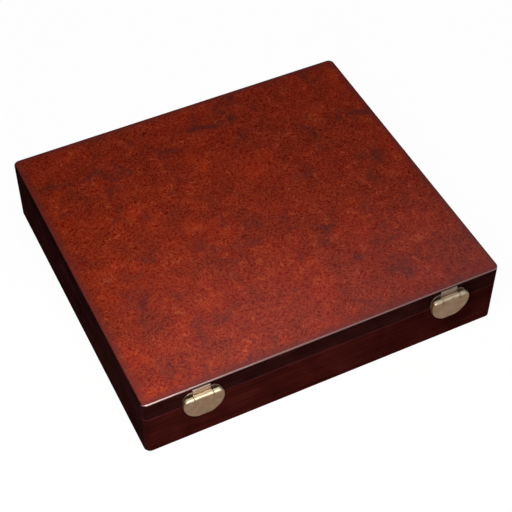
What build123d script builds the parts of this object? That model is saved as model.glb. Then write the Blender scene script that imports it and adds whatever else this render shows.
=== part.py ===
from build123d import *
import os

# A wooden pastel box: mitred base and lid, foam beds, two lever clasps in front and two butt hinges behind.
# The origin is the centre of the underside, X runs right, Y to the back, Z up, and lengths are millimetres.

# Case
BOX_WIDTH = 300.0
BOX_DEPTH = 276.0
BASE_HEIGHT = 39.9
LID_HEIGHT = 17.9
SEAM_GAP = 0.2
WALL = 9.0
CORNER_RADIUS = 5.0
TOP_EDGE_STEPS = [(1.5, 0.0), (0.75, 0.2), (0.2, 0.75), (0.0, 1.5)]
FOOT_CHAMFER = 0.6
SEAM_CHAMFER = 0.6
BOTTOM_THICKNESS = 4.0
TOP_THICKNESS = 4.0
REBATE_WIDTH = 5.0
PANEL_CLEARANCE = 0.1

# Dividers between the rows of sticks
ROW_COUNT = 3
DIVIDER_THICKNESS = 5.0
DIVIDER_DROP = 2.0
DADO_DEPTH = 3.0
DADO_CLEARANCE = 0.1

# Foam: a plain underlay and a grooved bed in each row, and a pad inside the lid
FOAM_CLEARANCE = 0.3
UNDERLAY_THICKNESS = 16.0
BED_THICKNESS = 14.0
GROOVES_PER_ROW = 20
GROOVE_TOP_WIDTH = 10.4
GROOVE_FLOOR_WIDTH = 4.0
GROOVE_DEPTH = 3.0
LID_PAD_THICKNESS = 12.0

# Lid hinges
HINGE_INSET = 55.0
LEAF_LENGTH = 32.0
LEAF_WIDTH = 7.0
LEAF_THICKNESS = 1.2
KNUCKLE_RADIUS = 2.2
KNUCKLE_COUNT = 3
KNUCKLE_END_GAP = 0.15
KNUCKLE_WALL_GAP = 0.4
HINGE_PIN_RADIUS = 1.0
MORTISE_CLEARANCE = 0.1
RUNNING_CLEARANCE = 0.05

# Countersunk hinge screws; screws and nails are drawn with flat sides
FASTENER_SIDES = 6
SCREWS_PER_LEAF = 3
SCREW_PITCH = 11.0
SCREW_HEAD_RADIUS = 1.7
SCREW_HEAD_HEIGHT = 0.9
SCREW_SHANK_RADIUS = 0.9
SCREW_LENGTH = 8.0

# Clasps: sheet parts and the lever's pivot; the lever's small bore is drawn with flat sides
CLASP_INSET = 46.0
PLATE_THICKNESS = 0.6
PLATE_SEAM_DISTANCE = 1.0
LEVER_THICKNESS = 0.7
CLASP_PIN_RADIUS = 0.6
CLASP_PIN_END = 0.4
CLASP_BORE_SIDES = 12
KNUCKLE_WALL = 1.0
CLASP_KNUCKLE_LENGTH = 8.0
CLASP_PLAY = 0.2
CHEEK_HEIGHT = 3.0

# Clasps: outline of the lever, measured from the seam
LEVER_RADIUS = 16.3
LEVER_MIDDLE_RISE = 4.7
LEVER_SHOULDER_RISE = 11.2
LEVER_SHOULDER_RADIUS = 4.2
LEVER_EDGE_RADIUS = 1.1
LEVER_EDGE_STEPS = [(1.0, 0.0), (0.293, 0.293), (0.0, 1.0)]
RIM_STANDOFF = 1.0
CURL_ANGLE = 50.0
LIP_RISE = 11.0
LIP_HALF_WIDTH = 7.4
LIP_BEND_RADIUS = 1.8
LIP_GAP = 0.3
SLIT_WIDTH = 0.5
SLIT_DEPTH = 3.6

# Clasps: plates on the walls
BASE_PLATE_INSET = 1.0
STRIKE_HALF_WIDTH = 15.0
STRIKE_TOP_MARGIN = 1.8
STRIKE_EAR_DROP = 3.0
STRIKE_CORNER_RADIUS = 6.5
STRIKE_FOOT_RADIUS = 1.0
NOSE_HALF_WIDTH = 7.1
NOSE_PROUD = 1.3
NOSE_CHAMFER = 0.3

# Round-headed clasp nails
NAIL_HEAD_RADIUS = 1.4
NAIL_HEAD_HEIGHT = 0.55
NAIL_SHANK_RADIUS = 0.6
NAIL_LENGTH = 6.0
NAIL_SPREAD = 10.4
STRIKE_NAIL_RISE = 3.4
BASE_NAIL_DROP = 3.4
PILOT_CLEARANCE = 0.05

# Places that follow from the sizes above
INNER_WIDTH = BOX_WIDTH - 2 * WALL
INNER_DEPTH = BOX_DEPTH - 2 * WALL
SEAM_Z = BASE_HEIGHT + SEAM_GAP / 2
LID_BOTTOM = BASE_HEIGHT + SEAM_GAP
LID_TOP = LID_BOTTOM + LID_HEIGHT
PANEL_BOTTOM = LID_TOP - TOP_THICKNESS
ROW_DEPTH = (INNER_DEPTH - (ROW_COUNT - 1) * DIVIDER_THICKNESS) / ROW_COUNT
ROW_PITCH = ROW_DEPTH + DIVIDER_THICKNESS
FRONT_Y = -BOX_DEPTH / 2
BACK_Y = BOX_DEPTH / 2
HINGE_X = BOX_WIDTH / 2 - HINGE_INSET
HINGE_AXIS_Y = BACK_Y + KNUCKLE_WALL_GAP + KNUCKLE_RADIUS
CLASP_X = BOX_WIDTH / 2 - CLASP_INSET
CLASP_KNUCKLE_RADIUS = CLASP_PIN_RADIUS + KNUCKLE_WALL
CURL_RADIUS = CLASP_KNUCKLE_RADIUS + CLASP_PLAY + LEVER_THICKNESS
PIVOT_OUT = PLATE_THICKNESS + CLASP_PLAY + CURL_RADIUS
LEVER_PROUD = PIVOT_OUT + CURL_RADIUS
LIP_BACK = NOSE_PROUD + LIP_GAP
RIM_BACK = LIP_BACK + RIM_STANDOFF
LEVER_MIDDLE_Z = SEAM_Z + LEVER_MIDDLE_RISE
PIVOT_Z = LEVER_MIDDLE_Z - LEVER_RADIUS + CURL_RADIUS
LIP_Z = SEAM_Z + LIP_RISE
STRIKE_BOTTOM = SEAM_Z + PLATE_SEAM_DISTANCE
STRIKE_TOP = LID_TOP - STRIKE_TOP_MARGIN
SIDES = {"left": -1, "right": 1}


def slab(x_low, x_high, y_low, y_high, z_low, z_high):
    """A box between two corners."""
    middle = Pos((x_low + x_high) / 2, (y_low + y_high) / 2, (z_low + z_high) / 2)
    return middle * Box(x_high - x_low, y_high - y_low, z_high - z_low)


def rod_along_x(radius, x_low, x_high, y, z):
    """A cylinder that runs left to right."""
    return Pos((x_low + x_high) / 2, y, z) * Rot(0, 90, 0) * Cylinder(radius, x_high - x_low)


def case_section(inset=0.0):
    """The case's outline from above, with its corners rounded."""
    return RectangleRounded(BOX_WIDTH - 2 * inset, BOX_DEPTH - 2 * inset, CORNER_RADIUS - inset)


def rounded_case(low, high):
    """The case's outer form between two heights, with its upright corners rounded."""
    return Pos(0, 0, low) * extrude(case_section(), high - low)


def mitred_walls(ring, prefix):
    """Cuts a ring into four walls that meet in mitres at the corners."""
    right, back, reach = BOX_WIDTH / 2, BOX_DEPTH / 2, 2 * WALL
    corners = {
        "front": [(-1, -1, 1), (1, -1, 1), (1, -1, -1), (-1, -1, -1)],
        "back": [(-1, 1, 1), (1, 1, 1), (1, 1, -1), (-1, 1, -1)],
        "left": [(-1, -1, 1), (-1, 1, 1), (-1, 1, -1), (-1, -1, -1)],
        "right": [(1, -1, 1), (1, 1, 1), (1, 1, -1), (1, -1, -1)],
    }
    walls = {}
    for side, points in corners.items():
        outline = [(sx * (right + out * reach), sy * (back + out * reach)) for sx, sy, out in points]
        wedge = extrude(make_face(Polyline(*outline, close=True)), LID_TOP + 1)
        walls[f"{prefix}_{side}_wall"] = ring & wedge
    return walls


def hinge_places():
    """The middles of the two hinges along X."""
    return [side * HINGE_X for side in SIDES.values()]


def screw_places():
    """The middles of the screws of both hinges, in X and Y."""
    first = -(SCREWS_PER_LEAF - 1) / 2
    y = BACK_Y - LEAF_WIDTH / 2
    return [(x + (first + i) * SCREW_PITCH, y) for x in hinge_places() for i in range(SCREWS_PER_LEAF)]


def nail_places(z):
    """The middles of the nails of both clasps at one height, in X and Z."""
    return [(side * CLASP_X + end * NAIL_SPREAD, z) for side in SIDES.values() for end in (-1, 1)]


def strike_nail_places():
    """Nails of the strike plates, above the seam and behind the closed levers."""
    return nail_places(STRIKE_BOTTOM + STRIKE_NAIL_RISE)


def base_nail_places():
    """Nails of the base plates, below the seam and behind the closed levers."""
    return nail_places(SEAM_Z - PLATE_SEAM_DISTANCE - BASE_NAIL_DROP)


def turned(levels):
    """A small turned part with flat sides, upright, from pairs of height and radius."""
    step = 360 / FASTENER_SIDES
    rings = []
    for height, radius in levels:
        rings.append([Vector(radius, 0, height).rotate(Axis.Z, i * step) for i in range(FASTENER_SIDES)])
    faces = [Face(Wire.make_polygon(ring)) for ring in (rings[0], rings[-1])]
    for upper, lower in zip(rings, rings[1:]):
        for i in range(FASTENER_SIDES):
            faces.append(Face(Wire.make_polygon([upper[i - 1], upper[i], lower[i], lower[i - 1]])))
    return Solid(Shell(faces))


def nail_hole(x, z, gain=0.0):
    """A hole for a clasp nail, through plate and wall."""
    radius = NAIL_SHANK_RADIUS + gain
    hole = turned([(PLATE_THICKNESS, radius), (-NAIL_LENGTH - PLATE_THICKNESS, radius)])
    return Pos(x, FRONT_Y - PLATE_THICKNESS, z) * Rot(90, 0, 0) * hole


def nail(x, z):
    """A clasp nail: a low domed head on the plate and a pointed shank in the wall."""
    head = turned([
        (NAIL_HEAD_HEIGHT, NAIL_HEAD_RADIUS * 0.45),
        (NAIL_HEAD_HEIGHT * 0.7, NAIL_HEAD_RADIUS * 0.8),
        (0, NAIL_HEAD_RADIUS),
    ])
    point = NAIL_SHANK_RADIUS * 2
    shank = turned([
        (0, NAIL_SHANK_RADIUS), (point - NAIL_LENGTH, NAIL_SHANK_RADIUS), (-NAIL_LENGTH, NAIL_SHANK_RADIUS * 0.2),
    ])
    return Pos(x, FRONT_Y - PLATE_THICKNESS, z) * Rot(90, 0, 0) * (head + shank)


def screw_form():
    """A countersunk screw with its head's flat at the origin and its point below."""
    point = 2 * SCREW_SHANK_RADIUS
    return turned([
        (0, SCREW_HEAD_RADIUS), (-SCREW_HEAD_HEIGHT, SCREW_SHANK_RADIUS),
        (point - SCREW_LENGTH, SCREW_SHANK_RADIUS), (-SCREW_LENGTH, SCREW_SHANK_RADIUS * 0.2),
    ])


def pilot_form():
    """The hole that a hinge screw's shank needs in the wood."""
    radius = SCREW_SHANK_RADIUS + PILOT_CLEARANCE
    return turned([(0, radius), (-SCREW_LENGTH - PILOT_CLEARANCE, radius)])


def down_into_base(x, y, form):
    """Places a screw or its hole in the base's rim."""
    return Pos(x, y, BASE_HEIGHT) * form


def up_into_lid(x, y, form):
    """Places a screw or its hole in the lid's rim."""
    return Pos(x, y, LID_BOTTOM) * Rot(180, 0, 0) * form


def mortise(x, low, high):
    """The pocket that a hinge leaf is let into."""
    half = LEAF_LENGTH / 2 + MORTISE_CLEARANCE
    return slab(x - half, x + half, BACK_Y - LEAF_WIDTH - MORTISE_CLEARANCE, BACK_Y + WALL, low, high)


def divider_places():
    """The middles of the dividers along Y."""
    first = -(ROW_COUNT - 2) / 2
    return [(first + i) * ROW_PITCH for i in range(ROW_COUNT - 1)]


def row_places():
    """The middles of the rows along Y."""
    first = -(ROW_COUNT - 1) / 2
    return [(first + i) * ROW_PITCH for i in range(ROW_COUNT)]


def base_walls():
    """The base's four walls, with the rebate, dados, mortises and pilot holes cut in them."""
    case = rounded_case(0, BASE_HEIGHT)
    case = chamfer(case.faces().sort_by(Axis.Z)[0].edges(), FOOT_CHAMFER)
    case = chamfer(case.faces().sort_by(Axis.Z)[-1].edges(), SEAM_CHAMFER)
    ring = case - slab(-INNER_WIDTH / 2, INNER_WIDTH / 2, -INNER_DEPTH / 2, INNER_DEPTH / 2, 0, BASE_HEIGHT)
    panel_x, panel_y = INNER_WIDTH / 2 + REBATE_WIDTH, INNER_DEPTH / 2 + REBATE_WIDTH
    ring -= slab(-panel_x, panel_x, -panel_y, panel_y, 0, BOTTOM_THICKNESS)
    half_slot = DIVIDER_THICKNESS / 2 + DADO_CLEARANCE
    slot_x = INNER_WIDTH / 2 + DADO_DEPTH
    for y in divider_places():
        ring -= slab(-slot_x, slot_x, y - half_slot, y + half_slot, BOTTOM_THICKNESS, BASE_HEIGHT)
    for x in hinge_places():
        ring -= mortise(x, BASE_HEIGHT - LEAF_THICKNESS, BASE_HEIGHT)
    for x, y in screw_places():
        ring -= down_into_base(x, y, pilot_form())
    for x, z in base_nail_places():
        ring -= nail_hole(x, z, PILOT_CLEARANCE)
    return mitred_walls(ring, "base")


def lid_walls():
    """The lid's four walls, with the mortises and pilot holes cut in them."""
    case = rounded_case(LID_BOTTOM, PANEL_BOTTOM)
    case = chamfer(case.faces().sort_by(Axis.Z)[0].edges(), SEAM_CHAMFER)
    ring = case - slab(-INNER_WIDTH / 2, INNER_WIDTH / 2, -INNER_DEPTH / 2, INNER_DEPTH / 2, LID_BOTTOM, LID_TOP)
    for x in hinge_places():
        ring -= mortise(x, LID_BOTTOM, LID_BOTTOM + LEAF_THICKNESS)
    for x, y in screw_places():
        ring -= up_into_lid(x, y, pilot_form())
    for x, z in strike_nail_places():
        ring -= nail_hole(x, z, PILOT_CLEARANCE)
    return mitred_walls(ring, "lid")


def panels():
    """The bottom panel in its rebate and the top panel that lies over the lid's walls."""
    half_x = INNER_WIDTH / 2 + REBATE_WIDTH - PANEL_CLEARANCE
    half_y = INNER_DEPTH / 2 + REBATE_WIDTH - PANEL_CLEARANCE
    top = rounded_case(PANEL_BOTTOM, LID_TOP - TOP_EDGE_STEPS[0][0])
    for (drop, wide), (rise, narrow) in zip(TOP_EDGE_STEPS, TOP_EDGE_STEPS[1:]):
        lower = Pos(0, 0, LID_TOP - drop) * case_section(wide)
        upper = Pos(0, 0, LID_TOP - rise) * case_section(narrow)
        top += loft([lower, upper], ruled=True)
    return {
        "bottom_panel": slab(-half_x, half_x, -half_y, half_y, 0, BOTTOM_THICKNESS),
        "lid_top_panel": top,
    }


def dividers():
    """The two dividers, housed at both ends in the side walls."""
    half = INNER_WIDTH / 2 + DADO_DEPTH - DADO_CLEARANCE
    top = BASE_HEIGHT - DIVIDER_DROP
    names = ["front_divider", "rear_divider"]
    return {
        name: slab(-half, half, y - DIVIDER_THICKNESS / 2, y + DIVIDER_THICKNESS / 2, BOTTOM_THICKNESS, top)
        for name, y in zip(names, divider_places())
    }


def grooved_bed(y):
    """A foam bed with one shallow groove for each stick of a row."""
    half_x = INNER_WIDTH / 2 - FOAM_CLEARANCE
    half_y = ROW_DEPTH / 2 - FOAM_CLEARANCE
    low = BOTTOM_THICKNESS + UNDERLAY_THICKNESS
    high = low + BED_THICKNESS
    pitch = 2 * half_x / GROOVES_PER_ROW
    section = Pos(0, (low + high) / 2) * Rectangle(2 * half_x, high - low)
    for i in range(GROOVES_PER_ROW):
        middle = -half_x + (i + 0.5) * pitch
        top, floor = GROOVE_TOP_WIDTH / 2, GROOVE_FLOOR_WIDTH / 2
        section -= make_face(Polyline(
            (middle - top, high), (middle - floor, high - GROOVE_DEPTH),
            (middle + floor, high - GROOVE_DEPTH), (middle + top, high), close=True,
        ))
    return Pos(0, y + half_y, 0) * extrude(Plane.XZ * section, 2 * half_y)


def foam():
    """The underlays, the grooved beds and the lid's pad."""
    half_x = INNER_WIDTH / 2 - FOAM_CLEARANCE
    half_y = ROW_DEPTH / 2 - FOAM_CLEARANCE
    top = BOTTOM_THICKNESS + UNDERLAY_THICKNESS
    pieces = {}
    for row, y in zip(("front", "middle", "rear"), row_places()):
        pieces[f"{row}_foam_underlay"] = slab(-half_x, half_x, y - half_y, y + half_y, BOTTOM_THICKNESS, top)
        pieces[f"{row}_foam_bed"] = grooved_bed(y)
    pad_y = INNER_DEPTH / 2 - FOAM_CLEARANCE
    pieces["lid_foam_pad"] = slab(-half_x, half_x, -pad_y, pad_y, PANEL_BOTTOM - LID_PAD_THICKNESS, PANEL_BOTTOM)
    return pieces


def knuckle_spans(x, first):
    """Every second knuckle's ends along X, counted from the first or the second knuckle."""
    pitch = LEAF_LENGTH / KNUCKLE_COUNT
    start = x - LEAF_LENGTH / 2
    spans = []
    for i in range(first, KNUCKLE_COUNT, 2):
        spans.append((start + i * pitch + KNUCKLE_END_GAP, start + (i + 1) * pitch - KNUCKLE_END_GAP))
    return spans


def hinge_leaf(x, first, z_low, z_high, bore):
    """A butt hinge leaf let into a rim, with its rolled knuckles outside the back wall."""
    half = LEAF_LENGTH / 2
    leaf = slab(x - half, x + half, BACK_Y - LEAF_WIDTH, BACK_Y, z_low, z_high)
    for x_low, x_high in knuckle_spans(x, first):
        leaf += slab(x_low, x_high, BACK_Y, HINGE_AXIS_Y, z_low, z_high)
        leaf += rod_along_x(KNUCKLE_RADIUS, x_low, x_high, HINGE_AXIS_Y, SEAM_Z)
    return leaf - rod_along_x(bore, x - half, x + half, HINGE_AXIS_Y, SEAM_Z)


def hinges():
    """Both butt hinges: leaves, pins and screws."""
    pieces = {}
    for name, side in SIDES.items():
        x = side * HINGE_X
        base = hinge_leaf(x, 0, BASE_HEIGHT - LEAF_THICKNESS, BASE_HEIGHT, HINGE_PIN_RADIUS)
        lid = hinge_leaf(x, 1, LID_BOTTOM, LID_BOTTOM + LEAF_THICKNESS, HINGE_PIN_RADIUS + RUNNING_CLEARANCE)
        for place in screw_places():
            base -= down_into_base(*place, screw_form())
            lid -= up_into_lid(*place, screw_form())
        pieces[f"{name}_hinge_base_leaf"] = base
        pieces[f"{name}_hinge_lid_leaf"] = lid
        half = LEAF_LENGTH / 2 - KNUCKLE_END_GAP
        pieces[f"{name}_hinge_pin"] = rod_along_x(HINGE_PIN_RADIUS, x - half, x + half, HINGE_AXIS_Y, SEAM_Z)
    pieces["base_hinge_screws"] = Compound([down_into_base(x, y, screw_form()) for x, y in screw_places()])
    pieces["lid_hinge_screws"] = Compound([up_into_lid(x, y, screw_form()) for x, y in screw_places()])
    return pieces


def lever_outline(inset=0.0):
    """The lever's outline, drawn on the wall: a circle cut level on top, with rounded shoulders."""
    radius = LEVER_RADIUS - inset
    top = LEVER_SHOULDER_RISE - LEVER_MIDDLE_RISE - inset
    height = radius + top
    outline = Circle(radius) & Pos(0, top - height / 2) * Rectangle(2 * radius, height)
    shoulders = outline.vertices().filter_by(lambda corner: abs(corner.X) > radius / 4)
    return Pos(0, LEVER_MIDDLE_Z) * fillet(shoulders, LEVER_SHOULDER_RADIUS - inset)


def from_wall(section, low, high):
    """Extrudes a section drawn on the front wall between two distances in front of it."""
    return Pos(0, -low, 0) * extrude(Plane.XZ * section, high - low)


def across(section, x_low, x_high):
    """Extrudes a side view, drawn in Y and Z, between two places along X."""
    return Pos(x_low, 0, 0) * extrude(Plane.YZ * section, x_high - x_low)


def lever_side_view(radius, lower_sweep):
    """The room that the lever fills from the side: all above its pivot and a sector in front of and below it."""
    height = LID_TOP - PIVOT_Z
    above = Pos(-LEVER_PROUD / 2, PIVOT_Z + height / 2) * Rectangle(LEVER_PROUD, height)
    pivot = (-PIVOT_OUT, PIVOT_Z)
    arc = CenterArc(pivot, radius, 180, lower_sweep)
    sector = make_face(Line(pivot, arc @ 0) + arc + Line(arc @ 1, pivot))
    return above + sector


def lever_tongue():
    """The spring tongue between the slits, with its lip turned back over the nose."""
    foot = LIP_Z - SLIT_DEPTH
    outer, inner = -LEVER_PROUD, -LEVER_PROUD + LEVER_THICKNESS
    bend = LIP_BEND_RADIUS
    corner = CenterArc((outer + bend, LIP_Z - bend), bend, 90, 90)
    rest = Polyline(
        (outer, LIP_Z - bend), (outer, foot), (inner, foot), (inner, LIP_Z - bend),
        (outer + bend, LIP_Z - LEVER_THICKNESS), (-LIP_BACK, LIP_Z - LEVER_THICKNESS),
        (-LIP_BACK, LIP_Z), (outer + bend, LIP_Z),
    )
    return across(make_face(corner + rest), -LIP_HALF_WIDTH, LIP_HALF_WIDTH)


def softened(low, high, inset, radius, steps):
    """The lever's solid outline between two distances from the wall, with its front edge rounded in steps."""
    form = from_wall(lever_outline(inset), low, high - radius)
    for (back, wide), (front, narrow) in zip(steps, steps[1:]):
        behind = Plane.XZ.offset(high - back * radius) * lever_outline(inset + wide * radius)
        before = Plane.XZ.offset(high - front * radius) * lever_outline(inset + narrow * radius)
        form += loft([behind, before], ruled=True)
    return form


def lever():
    """The clasp's lever: a pressed disc with a turned-back rim, slit beside its lip, on a pin near its foot."""
    reach = LEVER_RADIUS + LEVER_THICKNESS
    outside = softened(RIM_BACK, LEVER_PROUD, 0, LEVER_EDGE_RADIUS, LEVER_EDGE_STEPS)
    outside &= across(lever_side_view(CURL_RADIUS, CURL_ANGLE), -reach, reach)
    sloped = [LEVER_EDGE_STEPS[0], LEVER_EDGE_STEPS[-1]]
    inner_radius = LEVER_EDGE_RADIUS - LEVER_THICKNESS
    hollow = softened(0, LEVER_PROUD - LEVER_THICKNESS, LEVER_THICKNESS, inner_radius, sloped)
    hollow &= across(lever_side_view(CURL_RADIUS - LEVER_THICKNESS, 180), -reach, reach)
    body = outside - hollow
    opening = LIP_HALF_WIDTH + SLIT_WIDTH
    body -= slab(-opening, opening, -2 * LEVER_PROUD, 0, LIP_Z - SLIT_DEPTH, LID_TOP)
    body += lever_tongue()
    inner = CLASP_KNUCKLE_LENGTH / 2 + CLASP_PLAY
    outer = inner + LEVER_THICKNESS
    room = CLASP_KNUCKLE_RADIUS + CLASP_PLAY
    body -= rod_along_x(room, -inner, inner, -PIVOT_OUT, PIVOT_Z)
    for side in SIDES.values():
        x_low, x_high = sorted((side * inner, side * outer))
        cheek = rod_along_x(CLASP_KNUCKLE_RADIUS, x_low, x_high, -PIVOT_OUT, PIVOT_Z)
        front = -LEVER_PROUD + LEVER_THICKNESS / 2
        back = -PIVOT_OUT + CLASP_KNUCKLE_RADIUS
        cheek += slab(x_low, x_high, front, back, PIVOT_Z, PIVOT_Z + CHEEK_HEIGHT)
        body += cheek
    bore = RegularPolygon(CLASP_PIN_RADIUS + RUNNING_CLEARANCE, CLASP_BORE_SIDES, major_radius=False)
    return body - across(Pos(-PIVOT_OUT, PIVOT_Z) * bore, -outer, outer)


def clasp_base():
    """The plate on the base wall, with the rolled knuckle that holds the lever's pin."""
    top = SEAM_Z - PLATE_SEAM_DISTANCE
    lower = Pos(0, top - LEVER_RADIUS) * Rectangle(2 * LEVER_RADIUS, 2 * LEVER_RADIUS)
    plate = from_wall(lever_outline(BASE_PLATE_INSET) & lower, 0, PLATE_THICKNESS)
    half = CLASP_KNUCKLE_LENGTH / 2
    neck = CLASP_KNUCKLE_RADIUS / 2
    plate += slab(-half, half, -PIVOT_OUT, 0, PIVOT_Z - neck, PIVOT_Z + neck)
    plate += rod_along_x(CLASP_KNUCKLE_RADIUS, -half, half, -PIVOT_OUT, PIVOT_Z)
    return plate - rod_along_x(CLASP_PIN_RADIUS, -half, half, -PIVOT_OUT, PIVOT_Z)


def strike():
    """The plate on the lid wall, with the raised nose that the lever's lip closes over."""
    height = STRIKE_TOP - STRIKE_BOTTOM
    middle = (STRIKE_TOP + STRIKE_BOTTOM) / 2
    ears = height - STRIKE_EAR_DROP
    outline = Pos(0, STRIKE_BOTTOM + ears / 2) * Rectangle(2 * STRIKE_HALF_WIDTH, ears)
    upper = outline.vertices().group_by(Axis.Y)[-1]
    outline = fillet(upper, STRIKE_CORNER_RADIUS)
    foot = outline.vertices().group_by(Axis.Y)[0]
    outline = fillet(foot, STRIKE_FOOT_RADIUS)
    plate = from_wall(outline, 0, PLATE_THICKNESS)
    nose = from_wall(Pos(0, middle) * Rectangle(2 * NOSE_HALF_WIDTH, height), 0, NOSE_PROUD)
    face = nose.faces().sort_by(Axis.Y)[0]
    nose = chamfer(face.edges(), NOSE_CHAMFER)
    return plate + nose


def clasps():
    """Both clasps: strike plates, base plates, levers, pins and nails."""
    pieces = {}
    pin_half = CLASP_KNUCKLE_LENGTH / 2 + CLASP_PLAY + LEVER_THICKNESS + CLASP_PIN_END
    forms = {
        "strike_plate": strike(),
        "clasp_base_plate": clasp_base(),
        "clasp_lever": lever(),
        "clasp_pin": rod_along_x(CLASP_PIN_RADIUS, -pin_half, pin_half, -PIVOT_OUT, PIVOT_Z),
    }
    holes = [nail_hole(x, z) for x, z in strike_nail_places() + base_nail_places()]
    for name, side in SIDES.items():
        for form_name, form in forms.items():
            piece = Pos(side * CLASP_X, FRONT_Y, 0) * form
            if form_name.endswith("plate"):
                for hole in holes:
                    piece -= hole
            pieces[f"{name}_{form_name}"] = piece
    pieces["strike_nails"] = Compound([nail(x, z) for x, z in strike_nail_places()])
    pieces["clasp_base_nails"] = Compound([nail(x, z) for x, z in base_nail_places()])
    return pieces


def main():
    """Builds every piece and writes it to its own file."""
    os.makedirs("parts", exist_ok=True)
    pieces = {**base_walls(), **panels(), **dividers(), **foam(), **lid_walls(), **hinges(), **clasps()}
    for name, shape in pieces.items():
        export_step(shape, f"parts/{name}.step")
    print("pieces", len(pieces))
    print("case", BOX_WIDTH, BOX_DEPTH, LID_TOP, "row depth", round(ROW_DEPTH, 3))
    print("lid axis y z", HINGE_AXIS_Y, SEAM_Z)
    print("lever axis y z", FRONT_Y - PIVOT_OUT, PIVOT_Z, "x", CLASP_X, "proud", LEVER_PROUD)


main()
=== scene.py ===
"""A wooden pastel box with two lever clasps, closed, in a plain pale studio.

The classes hold their sizes in millimetres and build their meshes in metres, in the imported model's own frame:
X runs right, Y to the back and Z up, from the middle of the box's underside. The studio's sizes are in metres.
"""

from __future__ import annotations

import logging
import math
from collections.abc import Iterable, Mapping, Sequence
from dataclasses import dataclass
from enum import Enum
from typing import Any

import bmesh
import bpy
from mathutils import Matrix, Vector

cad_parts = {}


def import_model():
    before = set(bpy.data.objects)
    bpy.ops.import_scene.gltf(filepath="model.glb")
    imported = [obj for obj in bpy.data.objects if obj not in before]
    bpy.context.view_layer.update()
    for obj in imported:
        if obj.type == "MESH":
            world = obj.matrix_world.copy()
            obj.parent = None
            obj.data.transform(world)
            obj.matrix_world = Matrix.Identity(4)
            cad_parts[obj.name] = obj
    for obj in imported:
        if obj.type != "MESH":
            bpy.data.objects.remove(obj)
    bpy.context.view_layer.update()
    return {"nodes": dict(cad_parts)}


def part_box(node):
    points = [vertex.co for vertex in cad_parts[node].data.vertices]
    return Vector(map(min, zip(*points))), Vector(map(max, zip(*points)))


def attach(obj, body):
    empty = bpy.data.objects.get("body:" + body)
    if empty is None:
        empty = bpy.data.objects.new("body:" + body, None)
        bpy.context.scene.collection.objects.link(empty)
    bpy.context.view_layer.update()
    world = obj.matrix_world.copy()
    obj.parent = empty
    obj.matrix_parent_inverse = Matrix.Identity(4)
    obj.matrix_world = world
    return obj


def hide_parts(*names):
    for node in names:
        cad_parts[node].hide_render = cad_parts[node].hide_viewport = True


LOG = logging.getLogger("pastel_box")
MM = 0.001
QUARTER_TURN = math.pi / 2
# Vertices nearer than this are one, in the solids and in what the recipes make, in metres.
SOLID_DOUBLES = 1e-6
RECIPE_DOUBLES = 2e-6
# Faces that meet at less than this are one flat, in degrees.
FLAT_WITHIN = 0.5
BEVEL_STEPS = 2

Colour = tuple[float, float, float, float]
Triple = tuple[float, float, float]
# Where a Map Range node's value starts and ends, and then, if they aren't 0 and 1, its results there.
Span = tuple[float, ...]
Tree = bpy.types.NodeTree
Node = bpy.types.Node
Socket = bpy.types.NodeSocket
Object = bpy.types.Object
Material = bpy.types.Material
Mesh = bmesh.types.BMesh

MATH = "ShaderNodeMath"
VECTOR_MATH = "ShaderNodeVectorMath"
COMBINE_XYZ = "ShaderNodeCombineXYZ"
SEPARATE_XYZ = "ShaderNodeSeparateXYZ"
MAP_RANGE = "ShaderNodeMapRange"
MIX = "ShaderNodeMix"
NOISE = "ShaderNodeTexNoise"
COLOUR_RAMP = "ShaderNodeValToRGB"
BUMP = "ShaderNodeBump"
TRANSFORM = "GeometryNodeTransform"
INSTANCES = "GeometryNodeInstanceOnPoints"
TO_ROTATION = "FunctionNodeEulerToRotation"
SMOOTH = {"interpolation_type": "SMOOTHSTEP"}
OF_COLOURS = {"data_type": "RGBA"}


class Axis(Enum):
    """The direction that a board's grain or a plate's brush marks run in."""

    X = 0
    Y = 1


class Body(Enum):
    """The rigid bodies that pieces ride on."""

    BASE = "base"
    LID = "lid"
    LEFT_LEVER = "left_lever"
    RIGHT_LEVER = "right_lever"


class Slot(Enum):
    """The record's material slots."""

    WALLS = "dark_lacquered_wood"
    VENEER = "lid_veneer"
    INSIDE = "inside_wood"
    NICKEL = "clasp_nickel"
    STEEL = "steel"
    BRASS = "hinge_brass"
    FOAM = "grey_foam"


def linear(code: str) -> Colour:
    """Turns an sRGB hex code into a linear colour.

    Args:
        code: Six hex digits after a hash.

    Returns:
        Red, green, blue and alpha, in linear light.
    """
    parts = [int(code[i : i + 2], 16) / 255 for i in (1, 3, 5)]
    red, green, blue = (p / 12.92 if p <= 0.04045 else ((p + 0.055) / 1.055) ** 2.4 for p in parts)
    return red, green, blue, 1.0


def add(
    tree: Tree,
    kind: str,
    inputs: Mapping[str, Any] | Sequence[Any] = (),
    stops: Iterable[tuple[float, str]] = (),
    **settings: Any,
) -> Node:
    """Adds a node with its settings and with its inputs' constants and links.

    Args:
        tree: The material's or recipe's tree.
        kind: The node type's identifier.
        inputs: What the inputs in use get, by name or in order. Each gets a constant, a socket to link from, a
            node, which stands for its first output in use, or a list of these where it takes several.
        stops: A colour ramp's places from 0 to 1, rising, each with its colour's hex code.
        settings: The node's own properties.

    Returns:
        The new node.
    """
    node = tree.nodes.new(kind)
    for name, value in settings.items():
        setattr(node, name, value)
    if isinstance(inputs, Mapping):
        pairs = [(node.inputs[name], value) for name, value in inputs.items()]
    else:
        pairs = list(zip([socket for socket in node.inputs if socket.enabled], inputs))
    for socket, value in pairs:
        for item in value if isinstance(value, list) else [value]:
            if isinstance(item, Node):
                item = next(output for output in item.outputs if output.enabled)
            if isinstance(item, Socket):
                tree.links.new(item, socket)
            else:
                socket.default_value = item
    for index, (place, code) in enumerate(stops):
        elements = node.color_ramp.elements
        element = elements[index] if index < len(elements) else elements.new(place)
        element.position, element.color = place, linear(code)
    return node


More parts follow.
